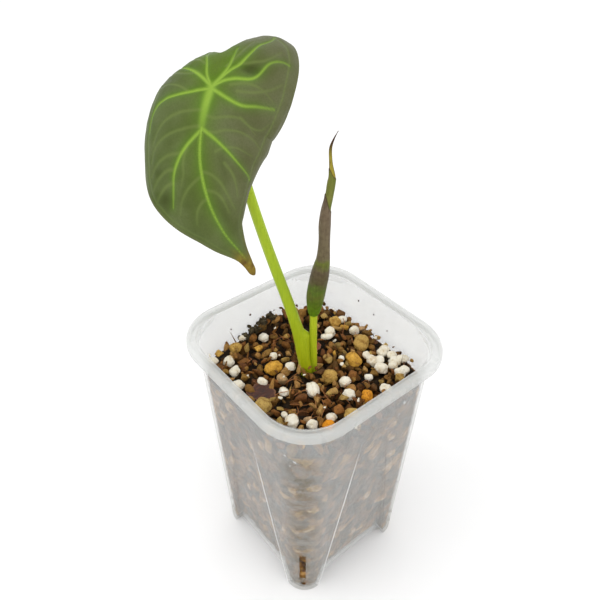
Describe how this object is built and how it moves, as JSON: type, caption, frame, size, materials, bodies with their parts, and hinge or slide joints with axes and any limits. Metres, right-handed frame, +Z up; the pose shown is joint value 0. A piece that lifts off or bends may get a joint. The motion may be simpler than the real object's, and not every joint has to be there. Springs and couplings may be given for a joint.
{
  "type": "potted regal shields alocasia",
  "caption": "Young shield-leaved alocasia with one grown leaf and one rolled new leaf, in a square clear nursery pot of chunky mix.",
  "frame": {"origin": "middle of the whole object's box, on the surface the four feet stand on", "axes": "+Z up along the pot's axis; the pot's sides lie along X and Y; the leaf hangs towards -X and -Y"},
  "size_m": [0.075, 0.081, 0.2036],
  "materials": {
    "clear_plastic": "frosted clear",
    "mix": "rough, moist",
    "corm": "matt",
    "stalk": "satin",
    "new_stalk": "satin",
    "blade": "satin",
    "rolled_leaf": "satin",
    "clay": "matt",
    "perlite": "matt",
    "bark": "rough"
  },
  "bodies": {
    "root": {"pot": "clear_plastic", "potting_mix": "mix", "corm_with_roots": "corm", "leaf_petiole": "stalk", "leaf_blade": "blade", "new_leaf_petiole": "new_stalk", "new_leaf_rolled": "rolled_leaf", "clay_01": "clay", "clay_02": "clay", "clay_03": "clay", "clay_04": "clay", "clay_05": "clay", "clay_06": "clay", "clay_07": "clay", "clay_08": "clay", "clay_09": "clay", "clay_10": "clay", "perlite_01": "perlite", "perlite_02": "perlite", "perlite_03": "perlite", "perlite_04": "perlite", "perlite_05": "perlite", "perlite_06": "perlite", "perlite_07": "perlite", "perlite_08": "perlite", "perlite_09": "perlite", "perlite_10": "perlite", "perlite_11": "perlite", "perlite_12": "perlite", "perlite_13": "perlite", "perlite_14": "perlite", "perlite_15": "perlite", "perlite_16": "perlite", "perlite_17": "perlite", "perlite_18": "perlite", "perlite_19": "perlite", "perlite_20": "perlite", "bark_chip_1": "bark", "bark_chip_2": "bark"}
  },
  "joints": []
}
